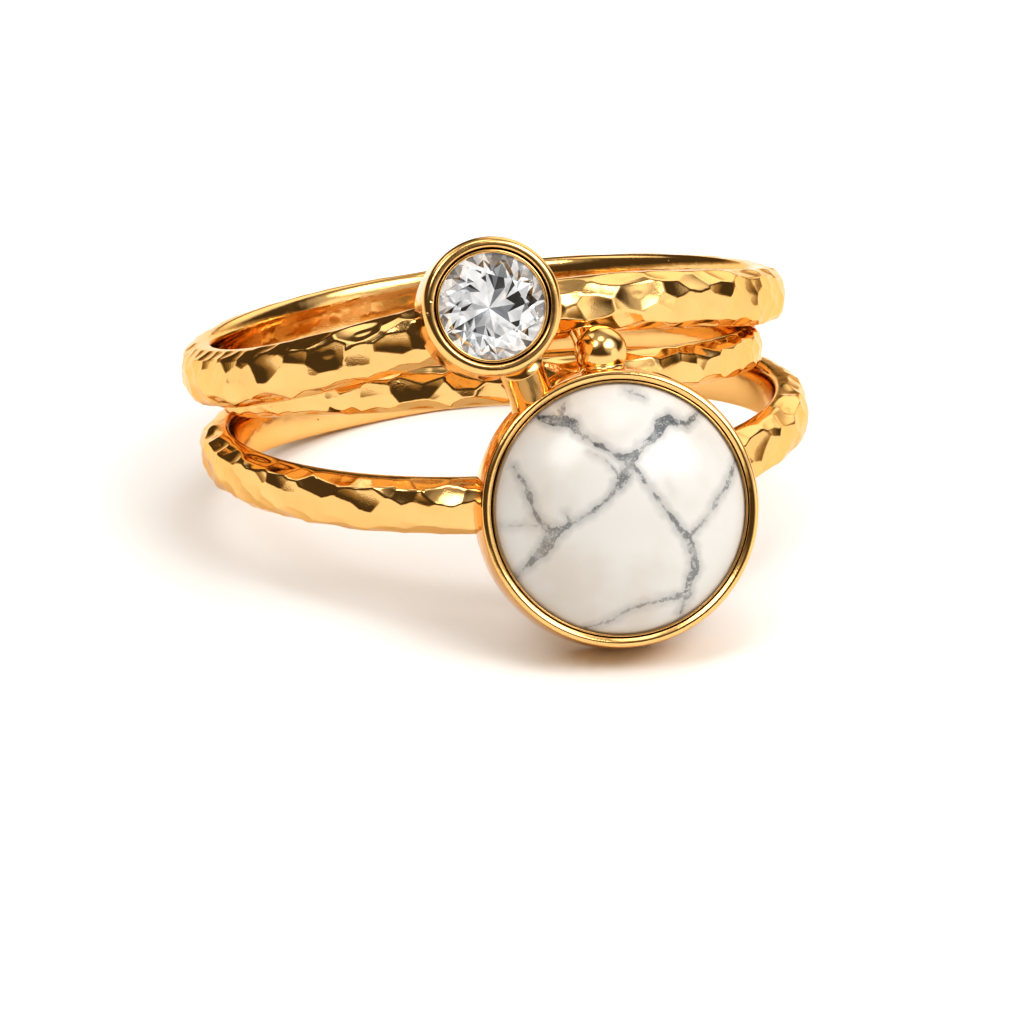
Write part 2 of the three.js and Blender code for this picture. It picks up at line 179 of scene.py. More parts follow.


# Gold-plated silver, hammered, then buffed: mirror bright, with soft buffing ripples, patches that keep
# the grain of the hammer's face, a stray pit here and there, and painted shade darkening the fine grooves.
def goldMaterial():
    material, tree, place = newMaterial("polished_gold_plate")
    tone = addNode(tree, "ShaderNodeTexNoise", inputs={
        "Vector": place, "Scale": lumps(gold["toneMm"])})
    smear = addNode(tree, "ShaderNodeTexNoise", inputs={
        "Vector": place, "Scale": lumps(gold["smearMm"]), "Detail": 4, "Roughness": 0.6})
    patch = addNode(tree, "ShaderNodeTexNoise", inputs={
        "Vector": place, "Scale": lumps(gold["grainPatchMm"]), "Detail": 1})
    grain = addNode(tree, "ShaderNodeTexNoise", inputs={
        "Vector": place, "Scale": lumps(gold["grainMm"]), "Detail": 2, "Roughness": 0.6})
    ripple = addNode(tree, "ShaderNodeTexNoise", inputs={
        "Vector": place, "Scale": lumps(gold["rippleMm"]), "Detail": 1})
    pit = addNode(tree, "ShaderNodeTexVoronoi", inputs={
        "Vector": place, "Scale": lumps(gold["pitMm"])})
    colour = addNode(tree, "ShaderNodeMix", {"data_type": "RGBA"}, {
        0: tone.outputs["Fac"], 6: colourOf(gold["colour"]), 7: colourOf(gold["deepColour"])})
    # painted shade: the gold is darkened to near black in the grooves between rim and lip
    groove = addNode(tree, "ShaderNodeAttribute", {"attribute_name": "grooveShade"})
    colour = addNode(tree, "ShaderNodeMix", {"data_type": "RGBA"}, {
        0: groove.outputs["Fac"], 6: colour.outputs[2], 7: colourOf(gold["paintedGrooveShade"])})
    roughness = addNode(tree, "ShaderNodeMapRange", inputs={
        "Value": smear.outputs["Fac"], "From Min": 0.3, "From Max": 0.75,
        "To Min": gold["roughness"][0], "To Max": gold["roughness"][1]})
    grainShare = addNode(tree, "ShaderNodeMapRange", {"interpolation_type": "SMOOTHSTEP"}, {
        "Value": patch.outputs["Fac"],
        "From Min": gold["grainPatchEdge"][0], "From Max": gold["grainPatchEdge"][1],
        "To Min": gold["grainStrength"][0], "To Max": gold["grainStrength"][1]})
    grainBump = addNode(tree, "ShaderNodeBump", inputs={
        "Height": grain.outputs["Fac"], "Strength": grainShare.outputs[0],
        "Distance": gold["grainHeight"]})
    rippleBump = addNode(tree, "ShaderNodeBump", inputs={
        "Height": ripple.outputs["Fac"], "Strength": gold["rippleStrength"],
        "Distance": gold["dentHeight"], "Normal": grainBump.outputs[0]})
    pitEdge = addNode(tree, "ShaderNodeMapRange", {"interpolation_type": "SMOOTHSTEP"}, {
        "Value": pit.outputs["Distance"], "From Max": gold["pitRadius"] / gold["pitMm"]})
    pitBump = addNode(tree, "ShaderNodeBump", inputs={
        "Height": pitEdge.outputs[0], "Strength": gold["pitStrength"],
        "Distance": gold["dentHeight"], "Normal": rippleBump.outputs[0]})
    shader = addNode(tree, "ShaderNodeBsdfPrincipled", inputs={
        "Base Color": colour.outputs[2], "Metallic": 1.0, "Roughness": roughness.outputs[0],
        "Specular Tint": colourOf(gold["edgeTint"]), "Normal": pitBump.outputs[0]})
    addNode(tree, "ShaderNodeOutputMaterial", inputs={"Surface": shader.outputs[0]})
    return material


howlite = {
    "white": "#d5d2cd",
    "cloud": "#c7bdb1",       # warm grey clouds in the stone
    "vein": "#161b20",        # blue-grey web
    "veinLight": "#474d53",
    "rust": "#85725f",        # faint brown in the thin veins
    "cloudMm": 3.2,
    "cloudEdge": (0.42, 0.72),   # noise values where a cloud fades in
    "cloudMost": 0.8,
    "rustEdge": (0.5, 0.7),
    "rustMost": 0.5,
    "wanderMm": 0.34,
    "wander": 0.15,           # mm that the web's edges stray
    "swell": 0.005,           # mm that the web is wider than its paths
    "cellMm": 0.23,           # pale cells between dark strands inside the web
    "cellReach": 0.42,        # share of a cell from strand to palest
    "strandShade": (1.0, 0.5),   # of the strands and of the cells between them
    "crook": 0.0005,          # metres that the cells are bent by the grain
    "fadeMm": 0.45,           # lengths over which the web is darker or paler
    "fadeEdge": (0.38, 0.58),
    "fadeShade": (0.66, 1.0),
    "webEdge": (-0.04, 0.05),    # mm across which the web's edge fades
    "haloEdge": (-0.28, 0.05),   # mm across which its grey shadow fades
    "haloMost": 0.38,
    "grainMm": 0.12,
    "roughness": (0.17, 0.3),    # of the white and of the web
    "sink": 0.1,              # the web lies a little lower after polishing
    "sinkHeight": 0.00002,    # metres
    "ior": 1.59,
    "shine": 0.35,
    "inside": (0.1, (1.0, 0.9, 0.8), 0.0005),   # share, colour reach and metres that light enters
}


# Howlite, a white stone with a grey web, cut and polished: a waxy white that light enters a little, with
# blue-grey veins of dark strands whose edges fade into the white.
def howliteMaterial():
    material, tree, place = newMaterial("polished_howlite")
    inside = addNode(tree, "ShaderNodeAttribute", {"attribute_name": "veinInside"})
    tone = addNode(tree, "ShaderNodeAttribute", {"attribute_name": "veinTone"})
    cloud = addNode(tree, "ShaderNodeTexNoise", inputs={
        "Vector": place, "Scale": lumps(howlite["cloudMm"]), "Detail": 3, "Roughness": 0.55})
    wander = addNode(tree, "ShaderNodeTexNoise", inputs={
        "Vector": place, "Scale": lumps(howlite["wanderMm"]), "Detail": 3, "Roughness": 0.55})
    grain = addNode(tree, "ShaderNodeTexNoise", inputs={
        "Vector": place, "Scale": lumps(howlite["grainMm"]), "Detail": 3, "Roughness": 0.6})
    crooked = addNode(tree, "ShaderNodeMix", {"data_type": "VECTOR"}, {
        0: howlite["crook"], 4: place, 5: grain.outputs["Color"]})
    cell = addNode(tree, "ShaderNodeTexVoronoi", {"feature": "DISTANCE_TO_EDGE"}, {
        "Vector": crooked.outputs[1], "Scale": lumps(howlite["cellMm"])})
    fade = addNode(tree, "ShaderNodeTexNoise", inputs={
        "Vector": place, "Scale": lumps(howlite["fadeMm"]), "Detail": 2})
    cloudShare = addNode(tree, "ShaderNodeMapRange", {"interpolation_type": "SMOOTHSTEP"}, {
        "Value": cloud.outputs["Fac"], "From Min": howlite["cloudEdge"][0],
        "From Max": howlite["cloudEdge"][1], "To Max": howlite["cloudMost"]})
    base = addNode(tree, "ShaderNodeMix", {"data_type": "RGBA"}, {
        0: cloudShare.outputs[0], 6: colourOf(howlite["white"]), 7: colourOf(howlite["cloud"])})
    stray = addNode(tree, "ShaderNodeMath", {"operation": "MULTIPLY_ADD"}, {
        0: wander.outputs["Fac"], 1: 2 * howlite["wander"],
        2: howlite["swell"] - howlite["wander"]})
    depth = addNode(tree, "ShaderNodeMath", {"operation": "ADD"}, {
        0: inside.outputs["Fac"], 1: stray.outputs[0]})
    fill = addNode(tree, "ShaderNodeMapRange", {"interpolation_type": "SMOOTHSTEP"}, {
        "Value": depth.outputs[0], "From Min": howlite["webEdge"][0], "From Max": howlite["webEdge"][1]})
    halo = addNode(tree, "ShaderNodeMapRange", {"interpolation_type": "SMOOTHSTEP"}, {
        "Value": depth.outputs[0], "From Min": howlite["haloEdge"][0],
        "From Max": howlite["haloEdge"][1], "To Max": howlite["haloMost"]})
    strands = addNode(tree, "ShaderNodeMapRange", {"interpolation_type": "SMOOTHSTEP"}, {
        "Value": cell.outputs["Distance"], "From Max": howlite["cellReach"],
        "To Min": howlite["strandShade"][0], "To Max": howlite["strandShade"][1]})
    fadeShare = addNode(tree, "ShaderNodeMapRange", inputs={
        "Value": fade.outputs["Fac"],
        "From Min": howlite["fadeEdge"][0], "From Max": howlite["fadeEdge"][1],
        "To Min": howlite["fadeShade"][0], "To Max": howlite["fadeShade"][1]})
    strands = addNode(tree, "ShaderNodeMath", {"operation": "MULTIPLY"}, {
        0: strands.outputs[0], 1: fadeShare.outputs[0]})
    dark = addNode(tree, "ShaderNodeMath", {"operation": "MULTIPLY"}, {
        0: fill.outputs[0], 1: strands.outputs[0]})
    dark = addNode(tree, "ShaderNodeMath", {"operation": "MAXIMUM"}, {
        0: dark.outputs[0], 1: halo.outputs[0]})
    dark = addNode(tree, "ShaderNodeMath", {"operation": "MULTIPLY"}, {
        0: dark.outputs[0], 1: tone.outputs["Fac"]})
    web = addNode(tree, "ShaderNodeMix", {"data_type": "RGBA"}, {
        0: grain.outputs["Fac"], 6: colourOf(howlite["vein"]), 7: colourOf(howlite["veinLight"])})
    rustShare = addNode(tree, "ShaderNodeMapRange", inputs={
        "Value": cloud.outputs["Fac"], "From Min": howlite["rustEdge"][0],
        "From Max": howlite["rustEdge"][1], "To Max": howlite["rustMost"]})
    web = addNode(tree, "ShaderNodeMix", {"data_type": "RGBA"}, {
        0: rustShare.outputs[0], 6: web.outputs[2], 7: colourOf(howlite["rust"])})
    colour = addNode(tree, "ShaderNodeMix", {"data_type": "RGBA"}, {
        0: dark.outputs[0], 6: base.outputs[2], 7: web.outputs[2]})
    roughness = addNode(tree, "ShaderNodeMapRange", inputs={
        "Value": dark.outputs[0],
        "To Min": howlite["roughness"][0], "To Max": howlite["roughness"][1]})
    relief = addNode(tree, "ShaderNodeBump", {"invert": True}, {
        "Height": dark.outputs[0], "Strength": howlite["sink"], "Distance": howlite["sinkHeight"]})
    share, reach, distance = howlite["inside"]
    shader = addNode(tree, "ShaderNodeBsdfPrincipled", inputs={
        "Base Color": colour.outputs[2], "Roughness": roughness.outputs[0],
        "IOR": howlite["ior"], "Specular IOR Level": howlite["shine"],
        "Subsurface Weight": share, "Subsurface Radius": reach, "Subsurface Scale": distance,
        "Normal": relief.outputs[0]})
    addNode(tree, "ShaderNodeOutputMaterial", inputs={"Surface": shader.outputs[0]})
    return material


zirconia = {
    "colour": "#ffffff",
    "ior": 2.16,
    "roughness": (0.0, 0.02),
    "smearMm": 0.8,
    "smearEdge": (0.4, 0.7),  # noise values between clean and smeared
    "tones": ("#08090a", "#85898e", "#ffffff"),   # painted flashes: each rear facet is painted dark, grey or white in place of the light it returns
    "rearRoughness": (0.05, 0.15),
    "rearMirror": 0.5,        # how much the rear facets mirror
    "paintedGlow": 0.42,             # painted glow: emission standing in for light that many inner reflections gather
}


# Cubic zirconia, faceted and polished: clear and very bright, since it bends light strongly.
def frontFacetMaterial():
    material, tree, place = newMaterial("clear_cubic_zirconia")
    smear = addNode(tree, "ShaderNodeTexNoise", inputs={
        "Vector": place, "Scale": lumps(zirconia["smearMm"])})
    roughness = addNode(tree, "ShaderNodeMapRange", inputs={
        "Value": smear.outputs["Fac"],
        "From Min": zirconia["smearEdge"][0], "From Max": zirconia["smearEdge"][1],
        "To Min": zirconia["roughness"][0], "To Max": zirconia["roughness"][1]})
    shader = addNode(tree, "ShaderNodeBsdfPrincipled", inputs={
        "Base Color": colourOf(zirconia["colour"]), "Roughness": roughness.outputs[0],
        "IOR": zirconia["ior"], "Transmission Weight": 1.0})
    addNode(tree, "ShaderNodeOutputMaterial", inputs={"Surface": shader.outputs[0]})
    return material


# The same stone's rear facets, which throw the light back: each mirrors the room, tinted by its painted
# flash tone.
def rearFacetMaterial():
    material, tree, place = newMaterial("zirconia_rear_facets")
    tone = addNode(tree, "ShaderNodeAttribute", {"attribute_name": "paintedFacetFlash"})
    smear = addNode(tree, "ShaderNodeTexNoise", inputs={
        "Vector": place, "Scale": lumps(zirconia["smearMm"])})
    dark, grey, white = (colourOf(text) for text in zirconia["tones"])
    # painted flashes: the facet's tone picks dark, grey or white
    lowShare = addNode(tree, "ShaderNodeMapRange", inputs={
        "Value": tone.outputs["Fac"], "From Max": 0.5})
    low = addNode(tree, "ShaderNodeMix", {"data_type": "RGBA"}, {
        0: lowShare.outputs[0], 6: dark, 7: grey})
    highShare = addNode(tree, "ShaderNodeMapRange", inputs={
        "Value": tone.outputs["Fac"], "From Min": 0.5})
    colour = addNode(tree, "ShaderNodeMix", {"data_type": "RGBA"}, {
        0: highShare.outputs[0], 6: low.outputs[2], 7: white})
    roughness = addNode(tree, "ShaderNodeMapRange", inputs={
        "Value": smear.outputs["Fac"],
        "From Min": zirconia["smearEdge"][0], "From Max": zirconia["smearEdge"][1],
        "To Min": zirconia["rearRoughness"][0], "To Max": zirconia["rearRoughness"][1]})
    # painted light: the rear facets glow in their painted flash tone, though they are no lamp
    shader = addNode(tree, "ShaderNodeBsdfPrincipled", inputs={
        "Base Color": colour.outputs[2], "Metallic": zirconia["rearMirror"],
        "Roughness": roughness.outputs[0],
        "Emission Color": colour.outputs[2], "Emission Strength": zirconia["paintedGlow"]})
    addNode(tree, "ShaderNodeOutputMaterial", inputs={"Surface": shader.outputs[0]})
    return material


polishedGold = goldMaterial()
polishedHowlite = howliteMaterial()
clearZirconia = frontFacetMaterial()
rearZirconia = rearFacetMaterial()
print("materials made")

# the finger hole and the stack, in millimetres
ring = {
    "fingerRadius": 8.65,
    "outerHeight": 1.85,
    "outerThickness": 1.2,
    "middleHeight": 1.38,
    "middleThickness": 0.76,
    "middleStep": 0.55,
    "solderDepth": 0.17,
    "fanLift": 2.04,
    "sideTuck": 0.25,
}
bandStep = (ring["outerHeight"] + ring["middleHeight"]) / 2 - ring["solderDepth"]   # level to level

# a band's level in the stack, its share of the fan with the azimuth and narrowness of its peak, its tuck
# at the left, its shift to the side and back in thicknesses, how far its section leans at the front (a
# slope, above 0 when its face looks down), and the seed of its hammer marks
bandTable = {
    "top_band": {"level": 1, "lift": 1.0, "peak": 13.3, "focus": 3.9, "tuck": -0.2,
                 "side": 0.0, "back": 0.0, "lean": -0.05, "seed": 11},
    "middle_band": {"level": 0, "lift": 0.67, "peak": -17.5, "focus": 2.0, "tuck": 0.0,
                    "side": 0.12, "back": 0.2, "lean": 0.0, "seed": 23},
    "bottom_band": {"level": -1, "lift": -0.52, "peak": 28.5, "focus": 2.1, "tuck": 1.0,
                    "side": 0.27, "back": 0.0, "lean": 0.14, "seed": 37},
}
tuckAzimuth, tuckFocus = -92, 8   # where the stack closes up at the left, and how narrowly

hammer = {
    "steps": 1200,        # points round a band
    "domeSamples": 2001,  # points for measuring the dome's curve
    "domePoints": 54,     # points across its domed side
    "insidePoints": 26,   # points across its inner side
    "domePower": 0.78,    # below 1 the dome is squarer than a half round
    "shoulder": 0.24,     # share of the thickness where the dome starts
    "comfort": (3.0, 2.2),   # powers of the rounded inner side
    "spacing": 0.78,      # mm between marks along the band
    "rows": 5,
    "rowSpread": 0.62,    # how much of the dome's width the rows take
    "stray": (0.3, 0.12),    # how far a mark strays, in spacings round and in mm across
    "depth": (0.058, 0.082),
    "tiltRound": 0.11,    # how far a blow lands off square, as slopes round and across the band
    "tiltAcross": 0.14,
    "hollow": 0.15,       # how cupped a mark is, per mm
    "ridge": 0.0014,      # mm over which the ridge between marks is rounded
    "reach": 1.4,         # mm round a mark's middle that it can cut
    "glancing": 0.3,      # least facing, so that no cut grows endless at the dome's edges
    "cutRange": (-0.3, 1.0),   # mm, the cuts that count in the soft minimum
    "deepest": 0.17,      # mm
    "plainEdge": 0.24,    # share of the dome's half width left smooth at its edges
}


# 1 at the peak and 0 opposite: half of one plus the cosine of the distance, to the power focus
def bell(azimuth, peak, focus):
    return ((1 + np.cos(azimuth - peak)) / 2) ** focus


# height of a band's centre line: its level, plus the fan's bell at the front, plus the tuck at the left
def bandLine(row, azimuth):
    rise = row["lift"] * ring["fanLift"] * bell(azimuth, math.radians(row["peak"]), row["focus"])
    tuck = row["tuck"] * ring["sideTuck"] * bell(azimuth, math.radians(tuckAzimuth), tuckFocus)
    return row["level"] * bandStep + rise + tuck


# a band's inner radius, thickness and height
def bandSize(name):
    if name == "middle_band":
        return ring["fingerRadius"] - ring["middleStep"], ring["middleThickness"], ring["middleHeight"]
    return ring["fingerRadius"], ring["outerThickness"], ring["outerHeight"]


# the domed side as (outward, up): cosine and sine of an angle, each to the dome's power, spaced evenly
# along the curve, with each point's distance along it from the middle
def domeOutline(thickness, height):
    angle = np.linspace(-np.pi / 2, np.pi / 2, hammer["domeSamples"])
    low = hammer["shoulder"]
    out = thickness * (low + (1 - low) * np.maximum(np.cos(angle), 0) ** hammer["domePower"])
    up = height / 2 * np.sign(angle) * np.abs(np.sin(angle)) ** hammer["domePower"]
    length = np.concatenate([[0], np.cumsum(np.hypot(np.diff(out), np.diff(up)))])
    even = np.linspace(0, length[-1], hammer["domePoints"])
    return np.interp(even, length, out), np.interp(even, length, up), even - length[-1] / 2


# the inner side as (outward, up), top to bottom: it leaves the finger as one less a root of one less the
# height share to a power, so its edges are rounded
def insideOutline(thickness, height):
    share = np.sin(np.linspace(np.pi / 2, -np.pi / 2, hammer["insidePoints"] + 2))[1:-1]
    first, second = hammer["comfort"]
    out = hammer["shoulder"] * thickness * (1 - (1 - np.abs(share) ** first) ** (1 / second))
    return np.stack([out, share * height / 2], -1)


# a band's section carried round the finger, leaning by its slope times a bell at the front. Each hammer
# mark is a cupped plane that cuts the dome: the surface is the lowest of them all along the dome's own
# normal, as a soft minimum that rounds the ridges
def bandSurface(name):
    row = bandTable[name]
    inner, thickness, height = bandSize(name)
    out, up, along = domeOutline(thickness, height)
    slopeOut, slopeUp = np.gradient(out), np.gradient(up)
    size = np.hypot(slopeOut, slopeUp)
    normalOut, normalUp = slopeUp / size, -slopeOut / size
    steps = hammer["steps"]
    azimuth = np.linspace(0, 2 * np.pi, steps, endpoint=False)
    radius = inner + out

    random = np.random.default_rng(row["seed"])
    girth = 2 * np.pi * (inner + thickness)
    each = int(round(girth / hammer["spacing"]))
    columns = int(hammer["reach"] / girth * steps)
    total = np.ones((steps, len(out)))
    for line in range(hammer["rows"]):
        level = (line / (hammer["rows"] - 1) - 0.5) * hammer["rowSpread"] * (along[-1] - along[0])
        for mark in range(each):
            strayRound, strayAcross = random.uniform(-1, 1, 2) * hammer["stray"]
            middle = (mark + 0.5 * (line % 2) + strayRound) * 2 * np.pi / each
            depth = random.uniform(*hammer["depth"])
            tiltRound, tiltAcross = random.normal(0, 1, 2) * (hammer["tiltRound"], hammer["tiltAcross"])
            point = int(np.argmin(np.abs(along - level - strayAcross)))
            near = (int(round(middle / (2 * np.pi) * steps)) + np.arange(-columns, columns + 1)) % steps
            turn = (azimuth[near] - middle + np.pi) % (2 * np.pi) - np.pi
            # all in the mark's own frame: outward, round the finger, up
            placeOut = radius[None] * np.cos(turn)[:, None] - radius[point] + depth * normalOut[point]
            placeRound = radius[None] * np.sin(turn)[:, None]
            placeUp = up[None] - up[point] + depth * normalUp[point]
            planeOut = normalOut[point] + tiltAcross * normalUp[point]
            planeUp = normalUp[point] - tiltAcross * normalOut[point]
            above = placeOut * planeOut + placeUp * planeUp + placeRound * tiltRound
            far = placeOut ** 2 + placeRound ** 2 + placeUp ** 2
            facing = (normalOut[None] * np.cos(turn)[:, None] * planeOut + normalUp[None] * planeUp
                      + normalOut[None] * np.sin(turn)[:, None] * tiltRound)
            cut = (hammer["hollow"] * far - above) / np.maximum(facing, hammer["glancing"])
            cut = np.where(far < hammer["reach"] ** 2, cut, hammer["cutRange"][1])
            total[near] += np.exp(-np.clip(cut, *hammer["cutRange"]) / hammer["ridge"])
    beaten = np.clip(-hammer["ridge"] * np.log(total), -hammer["deepest"], 0)
    plain = (1 - np.abs(along) / np.abs(along).max()) / hammer["plainEdge"]
    beaten *= np.clip(plain, 0, 1)[None]

    inside = insideOutline(thickness, height)
    allOut = np.concatenate([out[None] + beaten * normalOut[None],
                             np.broadcast_to(inside[:, 0], (steps, len(inside)))], 1)
    allUp = np.concatenate([up[None] + beaten * normalUp[None],
                            np.broadcast_to(inside[:, 1], (steps, len(inside)))], 1)
    turn = azimuth[:, None]
    allOut = allOut + row["lean"] * bell(turn, 0.0, 1) * allUp
    points = np.stack([
        (inner + allOut) * np.sin(turn) + row["side"] * thickness,
        -(inner + allOut) * np.cos(turn) + row["back"] * thickness,
        allUp + bandLine(row, turn),
    ], -1)
    return points.reshape(-1, 3), gridFaces(steps, allOut.shape[1], True, True)


for name in bandTable:
    points, faces = bandSurface(name)
    addPiece(name, points, faces, polishedGold, "ring_metal")
    print(name, "made,", len(faces), "faces")

# what both settings share, in millimetres; the groove is where shade is painted dark
settings = {"clearance": 0.05, "plate": 0.34, "sink": 0.32, "lipCover": 0.12, "turnSteps": 288,
            "grooveTop": -0.08, "grooveFade": 0.05, "grooveReach": (0.062, 0.19)}

# a stone and its setting; a rim corner is the radius it is measured from, an offset, its height over the
# rim and its rounding
cabochon = {"radius": 4.0, "side": 1.22, "dome": 1.95, "power": 0.65, "bevel": 0.2,
            "turnSteps": 480, "domeRings": 141, "ringSpacing": 0.9,
            "wall": 0.19, "flare": 0.15, "lipDepth": 0.19, "footRound": 0.3,
            "azimuth": 17.3, "facing": 4, "tiltUp": 9.5, "above": 0.03,
            "rim": [("rim", 0.12, -1.0, 0.5), ("rim", 0.05, -0.27, 0.06), ("rim", 0.01, -0.04, 0.05),
                    ("rim", -0.12, 0.01, 0.05), ("opening", 0.11, -0.06, 0.012),
                    ("opening", 0.1, -0.16, 0.01), ("opening", 0.065, -0.16, 0.01),
                    ("opening", 0.06, -0.05, 0.02),
                    ("opening", 0.01, -0.045, 0.02), ("opening", 0.0, -0.12, 0.02)]}

# rearRings are rings of rear corners from the culet out: radius shares at even and odd corners, and how
# many corners; then come the painted flash tones that each ring's facets draw from
brilliant = {"radius": 1.75, "crown": 0.525, "girdle": 0.07, "pavilion": 1.4, "table": 0.57, "star": 0.79,
             "wall": 0.34, "flare": 0.02, "lipDepth": 0.45, "footRound": 0.28,
             "azimuth": 1.95, "facing": 7.5, "tiltUp": 12.5, "above": 0.96,
             "rim": [("rim", 0.0, -0.75, 0.5), ("rim", 0.005, -0.15, 0.14), ("rim", -0.12, 0.012, 0.14),
                     ("opening", 0.165, 0.012, 0.09),
                     ("opening", 0.16, -0.27, 0.015), ("opening", 0.12, -0.27, 0.012),
                     ("opening", 0.11, -0.09, 0.04), ("opening", 0.015, -0.08, 0.04),
                     ("opening", 0.0, -0.2, 0.04)],
             "rearRings": [(0.44, 0.32, 16), (0.70, 0.56, 32), (1.0, 1.0, 32)],
             "paintedRearFlashes": [(0.5, 0.75, 1.0, 0.9, 1.0), (0.0, 0.05, 0.45, 0.8, 1.0, 1.0),
                           (0.3, 0.55, 0.8, 1.0, 1.0)],
             "seed": 5}


# where a setting stands: Z faces out of its stone, Y up, origin at the middle of the rim's front
def settingFrame(piece, row, stand):
    place, turn, tilt = (math.radians(piece[key]) for key in ("azimuth", "facing", "tiltUp"))
    out = np.array([math.sin(turn) * math.cos(tilt), -math.cos(turn) * math.cos(tilt), math.sin(tilt)])
    right = np.array([math.cos(turn), math.sin(turn), 0])
    distance = ring["fingerRadius"] + ring["outerThickness"] + stand
    matrix = np.eye(4)
    matrix[:3, 0], matrix[:3, 1], matrix[:3, 2] = right, np.cross(out, right), out
    matrix[:3, 3] = (distance * math.sin(place), -distance * math.cos(place),
                     bandLine(row, place) + piece["above"])
    return matrix


# share of the dome's height at a radius: one less the radius share squared, to the dome's power
def domeFill(radius):
    return np.maximum(1 - (radius / cabochon["radius"]) ** 2, 0) ** cabochon["power"]


largeOpening = cabochon["radius"] - settings["lipCover"]
largeInner = cabochon["radius"] + settings["clearance"]
largeRim = largeInner + cabochon["wall"]
largeShoulder = -(cabochon["lipDepth"] + settings["clearance"]
                  + cabochon["dome"] * domeFill(largeOpening))
cabochonBack = largeShoulder - cabochon["side"]
largeFloor = cabochonBack - settings["clearance"]
largeStand = settings["plate"] - largeFloor
largeFrame = settingFrame(cabochon, bandTable["bottom_band"], largeStand)

smallOpening = brilliant["radius"] - settings["lipCover"]
smallInner = brilliant["radius"] + settings["clearance"]
smallRim = smallInner + brilliant["wall"]
crownSlope = brilliant["crown"] / (brilliant["radius"] * (1 - brilliant["table"]))
pavilionSlope = brilliant["pavilion"] / brilliant["radius"]
girdleTop = -(brilliant["lipDepth"] + settings["clearance"]
              + settings["lipCover"] * crownSlope)
girdleBottom = girdleTop - brilliant["girdle"]
culet = girdleBottom - brilliant["pavilion"]
smallPoint = culet - settings["clearance"] * math.hypot(1, pavilionSlope)
smallStand = settings["clearance"] - smallPoint
smallFrame = settingFrame(brilliant, bandTable["top_band"], smallStand)


# a cup's outline from the middle of its foot, up its wall, over the rim and the lip, then down the pocket
def settingProfile(piece, rim, opening, inner, stand, pocket):
    start = {"rim": rim, "opening": opening}
    depth = stand + settings["sink"]
    over = [(start[base] + offset, height, rounding) for base, offset, height, rounding in piece["rim"]]
    return roundedPath([
        (0, -depth, 0),
        (rim + piece["flare"], -depth, piece["footRound"]),
        *over,
        (opening, -piece["lipDepth"], 0.01),
        (inner, -piece["lipDepth"], 0.02),
        *pocket,
    ])


# painted shade, 1 in the groove between rim and lip and 0 above it: a straight rise with the depth over
# the fade
def grooveShade(profile, opening):
    fromLip = profile[:, 0] - opening
    rise = np.clip((settings["grooveTop"] - profile[:, 1]) / settings["grooveFade"], 0, 1)
    nearest, farthest = settings["grooveReach"]
    return np.where((fromLip > nearest) & (fromLip < farthest), rise, 0)


cups = {
    "large_setting": (largeFrame, largeOpening, settingProfile(
        cabochon, largeRim, largeOpening, largeInner, largeStand,
        [(largeInner, largeFloor, 0.05), (0, largeFloor, 0)])),
    "small_setting": (smallFrame, smallOpening, settingProfile(
        brilliant, smallRim, smallOpening, smallInner, smallStand,
        [(smallInner, smallPoint + pavilionSlope * smallInner, 0.03), (0, smallPoint, 0)])),
}
for name, (place, opening, profile) in cups.items():
    points, faces = turned(profile, settings["turnSteps"])
    shade = np.tile(grooveShade(profile, opening), settings["turnSteps"])
    addPiece(name, moved(points, place), faces, polishedGold, "ring_metal",
             attributes={"grooveShade": shade})
    print(name, "made")

# angles round a setting's wall in degrees, depths as shares of its stand, the rest in millimetres
joins = {"postRadius": 0.67, "postFlare": 0.74, "postAngle": 31.5, "postDepth": 0.5, "postRings": 41,
         "neckRadius": 0.36, "neckFlare": 0.56, "neckAngle": 3, "neckDepth": 0.7,
         "neckAzimuth": 19.2, "neckInside": 0.62, "neckLow": 0.36,
         "ballRadius": 0.81, "ballAngle": -1.1, "ballDepth": 0.42, "ballSeat": 0.2,
         "ballFoot": 0.2, "ballCut": 2.15, "ballRings": 60, "footDrop": 0.22, "footRings": 12,
         "wallBite": 0.8, "flarePower": 2.5, "turnSteps": 96}


# a point on a setting's wall: the angle is from straight up towards the left, depth behind the rim
def wallPoint(place, angle, radius, depth):
    turn = math.radians(angle)
    local = np.array([[-radius * math.sin(turn), radius * math.cos(turn), -depth]])
    return moved(local, place)[0]


# matrix that puts local Z along a direction and the origin at start
def standing(start, direction):
    matrix = np.eye(4)
    matrix[:3, :3] = np.array(Vector((0, 0, 1)).rotation_difference(Vector(direction)).to_matrix())
    matrix[:3, 3] = start
    return matrix


# a waisted post: its radius grows from the waist to the flare with the distance from its middle
def addPost(name, start, end, waist, flare):
    length = np.linalg.norm(end - start)
    share = np.linspace(0, 1, joins["postRings"])
    radius = waist + (flare - waist) * np.abs(2 * share - 1) ** joins["flarePower"]
    profile = np.concatenate([[[0, 0]], np.stack([radius, share * length], 1), [[0, length]]])
    points, faces = turned(profile, joins["turnSteps"])
    addPiece(name, moved(points, standing(start, end - start)), faces, polishedGold,
             "ring_metal")


biteRadius = largeRim - joins["wallBite"] * cabochon["wall"]
postStart = wallPoint(largeFrame, joins["postAngle"], biteRadius, joins["postDepth"] * largeStand)
behind = smallFrame[:3, 3] - joins["postDepth"] * smallStand * smallFrame[:3, 2]
towards = postStart - behind
towards -= smallFrame[:3, 2] * (towards @ smallFrame[:3, 2])
towards /= np.linalg.norm(towards)
postEnd = behind + towards * (smallRim - joins["wallBite"] * brilliant["wall"])
addPost("joining_post", postStart, postEnd, joins["postRadius"], joins["postFlare"])

